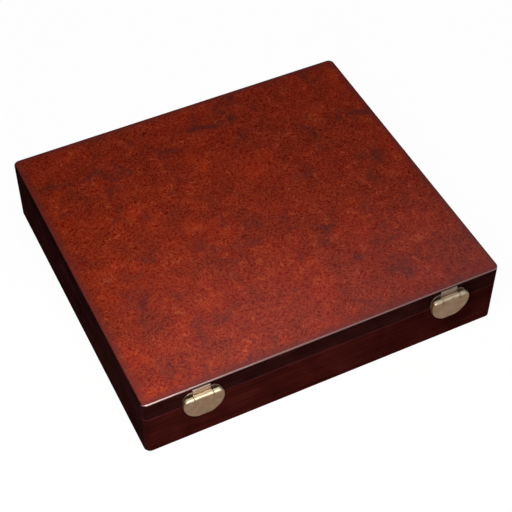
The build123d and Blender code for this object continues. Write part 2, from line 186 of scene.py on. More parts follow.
def place_in_mm(tree: Tree, stretch: Sequence[float] = (1.0, 1.0, 1.0)) -> Node:
    """Gives each point's place on the object in millimetres, with a stretch for each axis."""
    here = add(tree, "ShaderNodeTexCoord").outputs["Object"]
    return add(tree, "ShaderNodeMapping", {"Vector": here, "Scale": tuple(s / MM for s in stretch)})


@dataclass(frozen=True)
class Pattern:
    """A noise pattern.

    Its size is the width of its largest blobs, and its length how far they are drawn out, both in millimetres.
    Detail counts its finer layers, roughness is their strength, and bend distorts it.
    """

    size: float
    detail: float = 2.0
    roughness: float = 0.5
    bend: float = 0.0
    length: float = 0.0

    def inputs(self, place: Node) -> dict[str, Any]:
        """Gives what a noise node's inputs get, by name, for a place in millimetres."""
        layers = {"Detail": self.detail, "Roughness": self.roughness, "Distortion": self.bend}
        return {"Vector": place, "Scale": 1 / self.size, **layers}

    def drawn_out(self, tree: Tree, axis: Axis) -> dict[str, Any]:
        """Gives the inputs of a noise node whose blobs are long along an axis.

        Args:
            tree: The material's tree.
            axis: The axis.

        Returns:
            What the inputs get, by name.
        """
        stretch = [1.0, 1.0, 1.0]
        stretch[axis.value] = self.size / self.length
        return self.inputs(place_in_mm(tree, stretch))


@dataclass(frozen=True)
class Relief:
    """How deep, in millimetres, and how strongly a pattern marks the surface."""

    depth: float
    strength: float

    def inputs(self, height: Node) -> dict[str, Any]:
        """Gives what a bump node's inputs get, by name, for a height from 0 to 1."""
        return {"Height": height, "Distance": self.depth * MM, "Strength": self.strength}


class Finish:
    """A finish that makes its material on first use."""

    name: str

    def material(self) -> Material:
        """Gives the finish's material.

        Returns:
            The material, which later calls find by its name.
        """
        found = bpy.data.materials.get(self.name)
        if found:
            return found
        made = bpy.data.materials.new(self.name)
        made.use_nodes = True
        tree = made.node_tree
        tree.nodes.clear()
        shader = add(tree, "ShaderNodeBsdfPrincipled", self.dress(tree))
        add(tree, "ShaderNodeOutputMaterial", {"Surface": self.surface(tree, shader)})
        return made

    def dress(self, tree: Tree) -> dict[str, Any]:
        """Adds the finish's patterns and gives what the shader's inputs get, by name."""
        raise NotImplementedError

    def surface(self, tree: Tree, shader: Node) -> Node:
        """Gives the node that the material ends in, which is the shader itself in most finishes."""
        return shader


@dataclass(frozen=True)
class MottledVeneer(Finish):
    """Burr veneer, stained red-brown and sprayed with satin lacquer.

    The curls of the burr give fine light and dark flecks, the stain takes unevenly in clouds, and small dark
    knots are scattered over it. The lacquer gives a soft sheen. A painted shade with a greyish painted sheen darkens
    the panel towards its outer edges. The eyes and pores of such a burr are finer than a picture shows, so the
    flecks stand for small groups of them.
    """

    name: str = "burr_veneer_lacquered"
    tones: tuple[tuple[float, str], ...] = ((0.27, "#430600"), (0.42, "#5b0900"), (0.55, "#6b0c00"), (0.73, "#861d00"))
    fleck: str = "#452414"
    curl: str = "#a4512c"
    knot: str = "#421a18"
    # The painted edge shade: a dark, greyish colour that stands for the shade and sheen where the rounded edges turn
    # from the light.
    painted_edge_shade: str = "#55211d"
    polish: float = 0.0
    drift: Pattern = Pattern(11.0)
    drift_reach: float = 9.0
    curls: Pattern = Pattern(5.5, 1.0, 0.5, 1.0)
    flecks: Pattern = Pattern(1.8, 3.0, 0.75, 0.3)
    patches: Pattern = Pattern(15.0, 3.0, 0.55, 0.8)
    clouds: Pattern = Pattern(42.0, 2.0, 0.5, 0.3)
    knots: Pattern = Pattern(26.0, 3.0, 0.6, 0.6)
    cloud_share: float = 0.45
    coarse_share: float = 0.75
    fleck_span: Span = (0.36, 0.6)
    curl_middle: float = 0.5
    curl_span: Span = (0.03, 0.008, 0.0, 0.4)
    patch_span: Span = (0.42, 0.6)
    knot_span: Span = (0.52, 0.76, 0.0, 0.7)
    painted_edge_shade_span: Span = (9.0, 0.0, 0.0, 0.85)
    roughness_span: Span = (0.0, 1.0, 0.18, 0.28)
    relief: Relief = Relief(0.03, 0.5)
    half_size: Triple = (150.0, 138.0, 0.0)

    def near_painted_edge_shade(self, tree: Tree, here: Node) -> Node:
        """Gives the share of the painted edge shade, which falls to 0 a little inside the panel's outer edges.

        Args:
            tree: The material's tree.
            here: The place in millimetres.

        Returns:
            The node that gives the share.
        """
        off = add(tree, VECTOR_MATH, (here,), operation="ABSOLUTE")
        left = add(tree, SEPARATE_XYZ, (add(tree, VECTOR_MATH, (self.half_size, off), operation="SUBTRACT"),))
        nearest = add(tree, MATH, (left.outputs["X"], left.outputs["Y"]), operation="MINIMUM")
        return add(tree, MAP_RANGE, (nearest, *self.painted_edge_shade_span), **SMOOTH)

    def dress(self, tree: Tree) -> dict[str, Any]:
        """Adds the stain's tones, with flecks, curls, knots and the painted edge shade over them.

        Args:
            tree: The material's tree.

        Returns:
            What the shader's inputs get, by name.
        """
        here = place_in_mm(tree)
        drift = add(tree, NOISE, self.drift.inputs(here)).outputs["Color"]
        centred = add(tree, VECTOR_MATH, (drift, (0.5, 0.5, 0.5)), operation="SUBTRACT")
        warped = add(tree, VECTOR_MATH, (centred, (self.drift_reach,) * 3, here), operation="MULTIPLY_ADD")
        curl, fleck = (add(tree, NOISE, pattern.inputs(warped)) for pattern in (self.curls, self.flecks))
        patch, cloud, knot = (
            add(tree, NOISE, pattern.inputs(here)) for pattern in (self.patches, self.clouds, self.knots)
        )
        coarse = add(tree, MIX, (self.cloud_share, patch, cloud))
        tone = add(tree, MIX, (self.coarse_share, fleck, coarse))
        stain = add(tree, COLOUR_RAMP, (tone,), self.tones)
        flecks = add(tree, MAP_RANGE, (fleck, *self.fleck_span), **SMOOTH)
        stain = add(tree, MIX, (flecks, stain, linear(self.fleck)), **OF_COLOURS, blend_type="ADD")
        # A curl is a thin line where its noise crosses the middle, and it shows in the light patches only.
        crossing = add(tree, MATH, (curl, self.curl_middle), operation="SUBTRACT")
        ridge = add(tree, MATH, (crossing,), operation="ABSOLUTE")
        lines = add(tree, MAP_RANGE, (ridge, *self.curl_span), **SMOOTH)
        lit = add(tree, MAP_RANGE, (patch, *self.patch_span), **SMOOTH)
        curls = add(tree, MATH, (lines, lit), operation="MULTIPLY")
        stain = add(tree, MIX, (curls, stain, linear(self.curl)), **OF_COLOURS)
        knots = add(tree, MAP_RANGE, (knot, *self.knot_span), **SMOOTH)
        stain = add(tree, MIX, (knots, stain, linear(self.knot)), **OF_COLOURS)
        # Painted shade with a greyish painted sheen, darkening the panel towards its outer edges.
        painted_edge_shade = self.near_painted_edge_shade(tree, here)
        return {
            "Base Color": add(tree, MIX, (painted_edge_shade, stain, linear(self.painted_edge_shade)), **OF_COLOURS),
            "Roughness": add(tree, MAP_RANGE, (fleck, *self.roughness_span)),
            "Normal": add(tree, BUMP, self.relief.inputs(fleck)),
            "IOR": 1.5,
            "Specular IOR Level": 0.09,
            "Coat Weight": self.polish,
            "Coat Roughness": 0.34,
            "Coat IOR": 2.4,
        }


@dataclass(frozen=True)
class LacqueredMahogany(Finish):
    """Straight-grained mahogany, stained nearly black-red and lacquered.

    The stain hides most of the grain and long pores show as darker streaks. A painted highlight, pale and mauve,
    runs along the edges of the seam. Real pores are a fifth of a millimetre wide and are drawn wider so that they show.
    """

    name: str
    grain: Axis
    dark: str = "#1d0806"
    middle: str = "#2c0c0a"
    light: str = "#3a1411"
    # The painted highlight along the seam: its pale mauve colour, and its strength at the seam itself.
    edge: str = "#55313d"
    seam_highlight: float = 0.2
    tone_places: Triple = (0.35, 0.5, 0.66)
    lines: Pattern = Pattern(1.6, 3.0, 0.6, 0.5, length=45.0)
    pores: Pattern = Pattern(0.5, 2.0, 0.6, length=7.0)
    clouds: Pattern = Pattern(35.0, 3.0, 0.5, 0.6)
    cloud_share: float = 0.5
    pore_span: Span = (0.60, 0.72, 0.0, 0.6)
    roughness_span: Span = (0.0, 1.0, 0.5, 0.6)
    relief: Relief = Relief(0.04, 0.4)
    seam_height: float = 40.0
    seam_band: float = 0.75

    def dress(self, tree: Tree) -> dict[str, Any]:
        """Adds the stain's tones, with the pores and the painted seam highlight over them.

        Args:
            tree: The material's tree.

        Returns:
            What the shader's inputs get, by name.
        """
        here = place_in_mm(tree)
        lines, pores = (add(tree, NOISE, pattern.drawn_out(tree, self.grain)) for pattern in (self.lines, self.pores))
        clouds = add(tree, NOISE, self.clouds.inputs(here))
        tone = add(tree, MIX, (self.cloud_share, lines, clouds))
        stain = add(tree, COLOUR_RAMP, (tone,), zip(self.tone_places, (self.dark, self.middle, self.light)))
        streaks = add(tree, MAP_RANGE, (pores, *self.pore_span), **SMOOTH)
        stain = add(tree, MIX, (streaks, stain, linear(self.dark)), **OF_COLOURS)
        # A painted highlight, pale and mauve, along the edges of the seam.
        height = add(tree, SEPARATE_XYZ, (here,)).outputs["Z"]
        above = add(tree, MATH, (height, self.seam_height), operation="SUBTRACT")
        away = add(tree, MATH, (above,), operation="ABSOLUTE")
        painted_light_band = add(tree, MAP_RANGE, (away, self.seam_band, self.seam_band / 2, 0.0, self.seam_highlight), **SMOOTH)
        return {
            "Base Color": add(tree, MIX, (painted_light_band, stain, linear(self.edge)), **OF_COLOURS),
            "Roughness": add(tree, MAP_RANGE, (clouds, *self.roughness_span)),
            "Normal": add(tree, BUMP, self.relief.inputs(pores)),
            "IOR": 1.5,
            "Specular IOR Level": 0.0,
        }


@dataclass(frozen=True)
class StainedPlywood(Finish):
    """Thin plywood and solid slats inside the box, stained mid red-brown and left satin, with open pores.

    The pores are drawn wider than the real ones so that they show.
    """

    name: str
    grain: Axis
    dark: str = "#3d1c15"
    middle: str = "#57291d"
    light: str = "#6d382a"
    tone_places: Triple = (0.34, 0.5, 0.68)
    lines: Pattern = Pattern(1.8, 4.0, 0.6, 0.7, length=70.0)
    pores: Pattern = Pattern(0.45, 2.0, 0.6, length=6.0)
    pore_span: Span = (0.60, 0.70)
    relief: Relief = Relief(0.08, 0.5)

    def dress(self, tree: Tree) -> dict[str, Any]:
        """Adds the stain's tones along the grain, with the pores over them.

        Args:
            tree: The material's tree.

        Returns:
            What the shader's inputs get, by name.
        """
        lines, pores = (add(tree, NOISE, pattern.drawn_out(tree, self.grain)) for pattern in (self.lines, self.pores))
        stain = add(tree, COLOUR_RAMP, (lines,), zip(self.tone_places, (self.dark, self.middle, self.light)))
        streaks = add(tree, MAP_RANGE, (pores, *self.pore_span), **SMOOTH)
        return {
            "Base Color": add(tree, MIX, (streaks, stain, linear(self.dark)), **OF_COLOURS),
            "Normal": add(tree, BUMP, self.relief.inputs(pores)),
            "Roughness": 0.55,
            "Specular IOR Level": 0.3,
        }


@dataclass(frozen=True)
class PlatedMetal(Finish):
    """Pressed or turned metal with a thin plated coat and a fine satin brush.

    The plate is warm and slightly cloudy on the flats, and above a given height it takes another tone that stands
    for light: a painted highlight on the lever's top, a greyer tone on the strike's nose. Real brush marks are some
    hundredths of a millimetre wide and are drawn wider so that they show.
    """

    name: str
    flat: str
    # The painted-light tone, and the heights over which it takes over, which by default are never reached.
    painted_light_band: str
    roughness: float
    painted_light_band_span: Span = (1000.0, 1001.0)
    brush: Pattern = Pattern(0.12, 2.0, 0.6, length=5.0)
    clouds: Pattern = Pattern(5.0, 3.0, 0.55)
    cloud_span: Span = (0.3, 0.7, 0.78, 1.12)
    smoother: float = 0.05
    rougher: float = 0.08
    relief: Relief = Relief(0.01, 0.5)

    def dress(self, tree: Tree) -> dict[str, Any]:
        """Adds the clouds, the brush marks and the painted-light tone above a height.

        Args:
            tree: The material's tree.

        Returns:
            What the shader's inputs get, by name.
        """
        here = place_in_mm(tree)
        brush = add(tree, NOISE, self.brush.drawn_out(tree, Axis.X))
        clouds = add(tree, NOISE, self.clouds.inputs(here))
        height = add(tree, SEPARATE_XYZ, (here,)).outputs["Z"]
        # Another tone above a height that stands in for light: a painted highlight on the lever's top, a greyer tone on
        # the strike's nose.
        painted_light_band = add(tree, MAP_RANGE, (height, *self.painted_light_band_span), **SMOOTH)
        colour = add(tree, MIX, (painted_light_band, linear(self.flat), linear(self.painted_light_band)), **OF_COLOURS)
        shade = add(tree, MAP_RANGE, (clouds, *self.cloud_span))
        spread = (0.0, 1.0, self.roughness - self.smoother, self.roughness + self.rougher)
        return {
            "Base Color": add(tree, MIX, (1.0, colour, shade), **OF_COLOURS, blend_type="MULTIPLY"),
            "Roughness": add(tree, MAP_RANGE, (brush, *spread)),
            "Normal": add(tree, BUMP, self.relief.inputs(brush)),
            "Metallic": 1.0,
        }


@dataclass(frozen=True)
class OpenCellFoam(Finish):
    """Cut polyurethane foam: matt grey, with pores that show as fine dark specks and a cut face that is never flat.

    Real cells are about a third of a millimetre wide and are drawn wider so that they show.
    """

    name: str = "open_cell_foam"
    tones: tuple[tuple[float, str], ...] = ((0.0, "#2e2f31"), (1.0, "#6a6b6d"))
    cell_size: float = 0.8
    cell_span: Span = (0.15, 0.55)
    cell_share: float = 0.9
    darkest: float = -0.05
    swell: Pattern = Pattern(9.0, 3.0)
    swell_share: float = 0.25
    relief: Relief = Relief(0.35, 0.8)

    def dress(self, tree: Tree) -> dict[str, Any]:
        """Adds the cells, dark in their middles, and a slow change of tone.

        Args:
            tree: The material's tree.

        Returns:
            What the shader's inputs get, by name.
        """
        here = place_in_mm(tree)
        cells = add(tree, "ShaderNodeTexVoronoi", {"Vector": here, "Scale": 1 / self.cell_size}, feature="F1")
        walls = add(tree, MAP_RANGE, (cells, *self.cell_span), **SMOOTH)
        swell = add(tree, NOISE, self.swell.inputs(here))
        tone = add(tree, MATH, (walls, self.cell_share, self.darkest), operation="MULTIPLY_ADD")
        tone = add(tree, MATH, (swell, self.swell_share, tone), operation="MULTIPLY_ADD")
        return {
            "Base Color": add(tree, COLOUR_RAMP, (tone,), self.tones),
            "Normal": add(tree, BUMP, self.relief.inputs(walls)),
            "Roughness": 0.95,
            "Specular IOR Level": 0.15,
            "Sheen Weight": 0.15,
        }


@dataclass(frozen=True)
class StudioPaper(Finish):
    """Matt white background paper, with no texture that would show.

    The camera and reflections see it nearly evenly white, and it keeps the object's shadow in a lighter tone.
    """

    name: str = "studio_paper"
    tone: str = "#fbfbfa"
    white: str = "#ffffff"
    evenness: float = 0.97

    def dress(self, tree: Tree) -> dict[str, Any]:
        """Gives the paper's plain white, by the shader's input names."""
        return {"Base Color": linear(self.tone), "Roughness": 1.0, "Specular IOR Level": 0.0}

    def surface(self, tree: Tree, shader: Node) -> Node:
        """Mixes in the even white that only the camera, reflections and see-through pieces get.

        Args:
            tree: The material's tree.
            shader: The paper's own shader.

        Returns:
            The node that the material ends in.
        """
        path = add(tree, "ShaderNodeLightPath").outputs
        seen = add(tree, MATH, (path["Is Camera Ray"], path["Is Glossy Ray"]), operation="MAXIMUM")
        seen = add(tree, MATH, (seen, path["Is Transmission Ray"]), operation="MAXIMUM")
        share = add(tree, MATH, (seen, self.evenness), operation="MULTIPLY")
        white = add(tree, "ShaderNodeEmission", (linear(self.white), 1.0))
        return add(tree, "ShaderNodeMixShader", (share, shader, white))


# Mottled red-brown with a soft sheen, and the same where the lid's front edge is rounded and catches the light.
VENEER = MottledVeneer()
VENEER_RIM = MottledVeneer("burr_veneer_polished_rim", polish=1.0)
# Near-black red walls: redder in front, greyer at the sides, and a shade darker on the lid. The painted highlight
# along the seam is stronger on the sides than in front.
BASE_ALONG_X = LacqueredMahogany("mahogany_base_long_grain", Axis.X)
BASE_ALONG_Y = LacqueredMahogany("mahogany_base_side_grain", Axis.Y, "#1e0a0b", "#291011", "#341616", seam_highlight=0.6)
LID_ALONG_X = LacqueredMahogany("mahogany_lid_long_grain", Axis.X, "#150606", "#200b0a", "#2d1311")
LID_ALONG_Y = LacqueredMahogany("mahogany_lid_side_grain", Axis.Y, "#1e0a0b", "#291011", "#341616", seam_highlight=0.6)
# Plain red-brown boards that an open lid shows.
INSIDE_ALONG_X = StainedPlywood("stained_plywood", Axis.X)
# Warm grey plate. From 49.4 mm up, a painted highlight turns the lever pale on its top. On the strike, the flats are
# painted paler to offset the lever's shade, and the nose above 50.5 mm is greyer.
LEVER_NICKEL = PlatedMetal("satin_nickel_lever", "#8b6f55", "#d8c8ab", 0.5, (49.4, 50.9))
PLATE_NICKEL = PlatedMetal("satin_nickel_plate", "#a0866c", "#998679", 0.45, (50.5, 52.5))
# Small bright heads.
NAIL_NICKEL = PlatedMetal("nickel_nail", "#a58e70", "#c8b698", 0.25)
# Plain grey wire.
PIN_STEEL = PlatedMetal("drawn_steel_pin", "#8f8c86", "#8f8c86", 0.3)
# Yellow plate on the hinges, with slightly brighter screws.
HINGE_BRASS = PlatedMetal("brass_plated_hinge", "#a98f5c", "#c6b07c", 0.3, brush=Pattern(0.12, 2.0, 0.6, length=8.0))
SCREW_BRASS = PlatedMetal("brass_screw", "#b09968", "#c9b482", 0.26)
# Matt grey with fine dark specks.
FOAM = OpenCellFoam()
# An even white ground.
PAPER = StudioPaper()


def linked(name: str, mesh: Mesh) -> Object:
    """Turns a mesh under construction into an object of the scene.

    Args:
        name: The object's name.
        mesh: The mesh, which is freed.

    Returns:
        The object.
    """
    data = bpy.data.meshes.new(name)
    mesh.to_mesh(data)
    mesh.free()
    piece = bpy.data.objects.new(name, data)
    bpy.context.scene.collection.objects.link(piece)
    return piece


def stitched(rings: Sequence[Sequence[Sequence[float]]], closed: bool) -> Mesh:
    """Joins rings of points by faces, with a face over the last ring.

    Args:
        rings: Rings of as many places each, in metres, anticlockwise from above.
        closed: True for a face under the first ring too.

    Returns:
        The mesh under construction.
    """
    mesh = bmesh.new()
    loops = [[mesh.verts.new(place) for place in ring] for ring in rings]
    for lower, upper in zip(loops, loops[1:]):
        for i in range(len(lower)):
            mesh.faces.new((lower[i - 1], lower[i], upper[i], upper[i - 1]))
    mesh.faces.new(loops[-1])
    if closed:
        mesh.faces.new(loops[0][::-1])
    mesh.normal_update()
    return mesh


def shade_smooth(mesh: Mesh, crease: float) -> None:
    """Shades a mesh smooth, apart from edges sharper than an angle.

    Args:
        mesh: The mesh under construction.
        crease: The angle, in degrees.
    """
    for face in mesh.faces:
        face.smooth = True
    for edge in mesh.edges:
        edge.smooth = len(edge.link_faces) != 2 or edge.calc_face_angle(0.0) <= math.radians(crease)


def baked(piece: Object) -> Object:
    """Turns a piece with modifiers into a plain mesh.

    Args:
        piece: The piece, with live modifiers.

    Returns:
        The same piece, with the result as its mesh and no modifiers.
    """
    bpy.context.view_layer.update()
    graph = bpy.context.evaluated_depsgraph_get()
    mesh = bpy.data.meshes.new_from_object(piece.evaluated_get(graph), preserve_all_data_layers=True, depsgraph=graph)
    mesh.name = piece.name
    old = piece.data
    piece.modifiers.clear()
    piece.data = mesh
    bpy.data.meshes.remove(old)
    return piece


def with_even_shading(piece: Object) -> Object:
    """Weights a piece's normals by its faces, so that flats look flat, and bakes its modifiers."""
    normals = piece.modifiers.new("Shading", "WEIGHTED_NORMAL")
    normals.keep_sharp = True
    return baked(piece)


def refined(node: Object, name: str, softness: float, crease: float = 32.0) -> Object:
    """Builds a smooth-shaded piece from a node: doubles merged, flats joined, edges slightly softened.

    Args:
        node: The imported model's node.
        name: The new piece's name.
        softness: The width of its softened edges, in millimetres, or 0.
        crease: The least angle of an edge that stays sharp, in degrees.

    Returns:
        The new piece, with its modifiers applied.
    """
    mesh = bmesh.new()
    mesh.from_mesh(node.data)
    bmesh.ops.remove_doubles(mesh, verts=mesh.verts, dist=SOLID_DOUBLES)
    flat = math.radians(FLAT_WITHIN)
    bmesh.ops.dissolve_limit(
        mesh, angle_limit=flat, verts=mesh.verts, edges=mesh.edges, use_dissolve_boundaries=False
    )
    shade_smooth(mesh, crease)
    piece = linked(name, mesh)
    if softness > 0:
        bevel = piece.modifiers.new("Softened", "BEVEL")
        bevel.width = softness * MM
        bevel.segments = BEVEL_STEPS
        bevel.limit_method = "ANGLE"
        bevel.angle_limit = math.radians(crease)
    return with_even_shading(piece)


def finished(piece: Object, node: str, finish: Finish, body: Body) -> None:
    """Puts a piece in its solid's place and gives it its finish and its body.

    Args:
        piece: The piece, with its place in its mesh.
        node: The solid that it stands for.
        finish: What it is made of.
        body: The body that it rides on.
    """
    piece.data.materials.clear()
    piece.data.materials.append(finish.material())
    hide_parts(node)
    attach(piece, body.value)
    LOG.info("%s: %d faces, %s", piece.name, len(piece.data.polygons), finish.name)


def repainted(node: Object, finish: Finish) -> None:
    """Gives a carried-over solid a better material in its own slots.

    Args:
        node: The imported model's node.
        finish: What it is made of.
    """
    if not node.material_slots:
        node.data.materials.append(finish.material())
    for slot in node.material_slots:
        slot.material = finish.material()
    LOG.info("%s: kept, %s", node.name, finish.name)


class Recipe:
    """A Geometry Nodes tree with named inputs, which makes a piece's mesh from points."""

    def __init__(self, name: str, sizes: Iterable[str], counts: Iterable[str], material: str) -> None:
        """Starts a tree with its inputs.

        Args:
            name: The tree's name.
            sizes: The names of its sizes.
            counts: The names of its whole numbers.
            material: The name of its material.
        """
        self.tree = bpy.data.node_groups.new(name, "GeometryNodeTree")
        kinds = {"Geometry": "NodeSocketGeometry"}
        kinds |= dict.fromkeys(sizes, "NodeSocketFloat") | dict.fromkeys(counts, "NodeSocketInt")
        kinds[material] = "NodeSocketMaterial"
        self.keys: dict[str, str] = {}
        for label, kind in kinds.items():
            socket = self.tree.interface.new_socket(label, in_out="INPUT", socket_type=kind)
            self.keys[label] = socket.identifier
        self.tree.interface.new_socket("Geometry", in_out="OUTPUT", socket_type="NodeSocketGeometry")
        self.given = add(self.tree, "NodeGroupInput").outputs
        self.material = material

    def end(self, instances: Node) -> None:
        """Ends the tree with its instances made real and their material set."""
        real = add(self.tree, "GeometryNodeRealizeInstances", {"Geometry": instances})
        inputs = {"Geometry": real, "Material": self.given[self.material]}
        add(self.tree, "NodeGroupOutput", {"Geometry": add(self.tree, "GeometryNodeSetMaterial", inputs)})

    def make(self, name: str, places: Iterable[Sequence[float]], values: Mapping[str, Any], crease: float) -> Object:
        """Runs the tree on points.

        Args:
            name: The piece's name.
            places: The points' places, in millimetres.
            values: A value for each named input.
            crease: The least angle of an edge that stays sharp, in degrees.

        Returns:
            The piece, as a plain mesh, smooth-shaded and with its doubles merged.
        """
        points = bmesh.new()
        for place in places:
            points.verts.new([c * MM for c in place])
        piece = linked(name, points)
        modifier = piece.modifiers.new(self.tree.name, "NODES")
        modifier.node_group = self.tree
        for label, value in values.items():
            modifier[self.keys[label]] = value
        baked(piece)
        mesh = bmesh.new()
        mesh.from_mesh(piece.data)
        bmesh.ops.remove_doubles(mesh, verts=mesh.verts, dist=RECIPE_DOUBLES)
        bmesh.ops.recalc_face_normals(mesh, faces=mesh.faces)
        shade_smooth(mesh, crease)
        mesh.to_mesh(piece.data)
        mesh.free()
        return piece


@dataclass
class Fasteners:
    """Nails or screws of one kind, set at given places by one Geometry Nodes tree.

    Each kind has its own head and shank. The tilt turns them about X, from pointing down. The point's length and
    the other shares are given as multiples of the shank's radius.
    """

    name: str
    node: str
    places: Sequence[Sequence[float]]
    body: Body
    tilt: float
    finish: Finish
    slot: Slot
    head_radius: float
    head_height: float
    shank_radius: float
    length: float
    point_radius: float
    sides: int = 20
    point_share: float = 2.0
    crease: float = 35.0
    seed: int = 3

    def sizes(self) -> dict[str, float]:
        """Gives the recipe's sizes, in millimetres."""
        head = {"Head Radius": self.head_radius, "Head Height": self.head_height}
        return {**head, "Shank Radius": self.shank_radius, "Length": self.length}

    def head(self, recipe: Recipe) -> Node:
        """Builds the head at the origin, with what lies against the wood or in it below."""
        raise NotImplementedError

    def shank(self, recipe: Recipe) -> list[Node]:
        """Builds the parts of the shank, in their place under the head."""
        raise NotImplementedError

    def lowered(self, tree: Tree, form: Node, depth: Any, share: float) -> Node:
        """Moves a form down by a share of one of the fastener's sizes."""
        down = add(tree, COMBINE_XYZ, {"Z": add(tree, MATH, (depth, -share), operation="MULTIPLY")})
        return add(tree, TRANSFORM, {"Geometry": form, "Translation": down})

    def point(self, recipe: Recipe) -> Node:
        """Gives the length of the shank's point."""
        return add(recipe.tree, MATH, (recipe.given["Shank Radius"], self.point_share), operation="MULTIPLY")

    def straight(self, recipe: Recipe) -> Node:
        """Gives the length of the shank above its point."""
        return add(recipe.tree, MATH, (recipe.given["Length"], self.point(recipe)), operation="SUBTRACT")

    def pointed_rod(self, recipe: Recipe, radius: Any) -> list[Node]:
        """Builds a round rod and its point.

        Args:
            recipe: The tree.
            radius: The rod's radius.

        Returns:
            The rod and the point.
        """
        tree, straight = recipe.tree, self.straight(recipe)
        rod = add(tree, "GeometryNodeMeshCylinder", {"Vertices": self.sides, "Radius": radius, "Depth": straight})
        ends = {"Radius Top": radius, "Radius Bottom": self.point_radius * MM, "Depth": self.point(recipe)}
        tip = add(tree, "GeometryNodeMeshCone", {"Vertices": self.sides, **ends})
        return [self.lowered(tree, rod, straight, 0.5), self.lowered(tree, tip, recipe.given["Length"], 1.0)]

    def build(self) -> None:
        """Builds the fasteners as one piece, each turned at random about its own axis."""
        sizes = self.sizes()
        recipe = Recipe(self.name + "_recipe", sizes, ("Seed",), "Metal")
        tree, given = recipe.tree, recipe.given
        whole = add(tree, "GeometryNodeJoinGeometry", {"Geometry": [self.head(recipe), *self.shank(recipe)]})
        turns = {"Min": 0.0, "Max": math.tau, "Seed": given["Seed"]}
        turn = add(tree, "FunctionNodeRandomValue", turns, data_type="FLOAT")
        spin = add(tree, TO_ROTATION, (add(tree, COMBINE_XYZ, {"Z": turn}),))
        lean = add(tree, TO_ROTATION, ((self.tilt, 0.0, 0.0),))
        both = add(tree, "FunctionNodeRotateRotation", (lean, spin), rotation_space="LOCAL")
        recipe.end(add(tree, INSTANCES, {"Points": given["Geometry"], "Instance": whole, "Rotation": both}))
        values = {label: size * MM for label, size in sizes.items()}
        values |= {"Seed": self.seed, "Metal": self.finish.material()}
        piece = recipe.make(self.name, self.places, values, self.crease)
        finished(piece, self.node, self.finish, self.body)


@dataclass
class Nails(Fasteners):
    """Nails with a low domed head, flat underneath, and a smooth shank."""

    finish: Finish = NAIL_NICKEL
    slot: Slot = Slot.NICKEL
    head_radius: float = 1.4
    head_height: float = 0.55
    shank_radius: float = 0.6
    length: float = 6.0
    point_radius: float = 0.08
    dome_segments: int = 28
    dome_rings: int = 16

    def head(self, recipe: Recipe) -> Node:
        """Builds the dome from a ball that is pressed flat from below.

        Args:
            recipe: The tree.

        Returns:
            The dome.
        """
        tree, given = recipe.tree, recipe.given
        rings = {"Segments": self.dome_segments, "Rings": self.dome_rings}
        ball = add(tree, "GeometryNodeMeshUVSphere", {**rings, "Radius": 1.0})
        scale = add(tree, COMBINE_XYZ, (given["Head Radius"], given["Head Radius"], given["Head Height"]))
        lens = add(tree, TRANSFORM, {"Geometry": ball, "Scale": scale})
        x, y, z = add(tree, SEPARATE_XYZ, (add(tree, "GeometryNodeInputPosition"),)).outputs
        flat = add(tree, COMBINE_XYZ, (x, y, add(tree, MATH, (z, 0.0), operation="MAXIMUM")))
        return add(tree, "GeometryNodeSetPosition", {"Geometry": lens, "Position": flat})

    def shank(self, recipe: Recipe) -> list[Node]:
        """Builds the smooth shank and its point."""
        return self.pointed_rod(recipe, recipe.given["Shank Radius"])


@dataclass
class Screws(Fasteners):
    """Screws with a countersunk head, a cross recess and a threaded shank.

    The slots' shares are multiples of the head's radius, and the threaded share is a part of the shank's length.
    """

    finish: Finish = SCREW_BRASS
    slot: Slot = Slot.BRASS
    head_radius: float = 1.68
    head_height: float = 0.9
    shank_radius: float = 0.88
    length: float = 8.0
    point_radius: float = 0.04
    thread_pitch: float = 0.9
    head_sides: int = 32
    slot_length_share: float = 1.2
    slot_width_share: float = 0.26
    core_share: float = 0.72
    crest_share: float = 0.24
    threaded_share: float = 0.8
    crest_sides: int = 4
    turn_steps: int = 20

    def sizes(self) -> dict[str, float]:
        """Gives the recipe's sizes, in millimetres."""
        return {**super().sizes(), "Thread Pitch": self.thread_pitch}

    def head(self, recipe: Recipe) -> Node:
        """Builds the cone, less two crossed slots.

        Args:
            recipe: The tree.

        Returns:
            The head.
        """
        tree, given = recipe.tree, recipe.given
        ends = {"Radius Top": given["Head Radius"], "Radius Bottom": given["Shank Radius"]}
        cone = add(tree, "GeometryNodeMeshCone", {"Vertices": self.head_sides, **ends, "Depth": given["Head Height"]})
        reach, narrow = (
            add(tree, MATH, (given["Head Radius"], share), operation="MULTIPLY")
            for share in (self.slot_length_share, self.slot_width_share)
        )
        slots = []
        for across, along in ((reach, narrow), (narrow, reach)):
            size = add(tree, COMBINE_XYZ, (across, along, given["Head Height"]))
            slots.append(add(tree, "GeometryNodeMeshCube", {"Size": size}))
        inputs = {"Mesh 1": self.lowered(tree, cone, given["Head Height"], 1.0), "Mesh 2": slots}
        return add(tree, "GeometryNodeMeshBoolean", inputs, operation="DIFFERENCE")

    def shank(self, recipe: Recipe) -> list[Node]:
        """Builds the core, its point and the helical thread.

        Args:
            recipe: The tree.

        Returns:
            The three forms.
        """
        tree, given = recipe.tree, recipe.given
        core, crest = (
            add(tree, MATH, (given["Shank Radius"], share), operation="MULTIPLY")
            for share in (self.core_share, self.crest_share)
        )
        straight = self.straight(recipe)
        run = add(tree, MATH, (straight, self.threaded_share), operation="MULTIPLY")
        turns = add(tree, MATH, (run, given["Thread Pitch"]), operation="DIVIDE")
        helix = add(tree, "GeometryNodeCurveSpiral", {
            "Resolution": self.turn_steps, "Rotations": turns, "Start Radius": core, "End Radius": core, "Height": run,
        })
        ring = add(tree, "GeometryNodeCurvePrimitiveCircle", {"Resolution": self.crest_sides, "Radius": crest})
        thread = add(tree, "GeometryNodeCurveToMesh", {"Curve": helix, "Profile Curve": ring, "Fill Caps": True})
        return [*self.pointed_rod(recipe, core), self.lowered(tree, thread, straight, 1.0)]


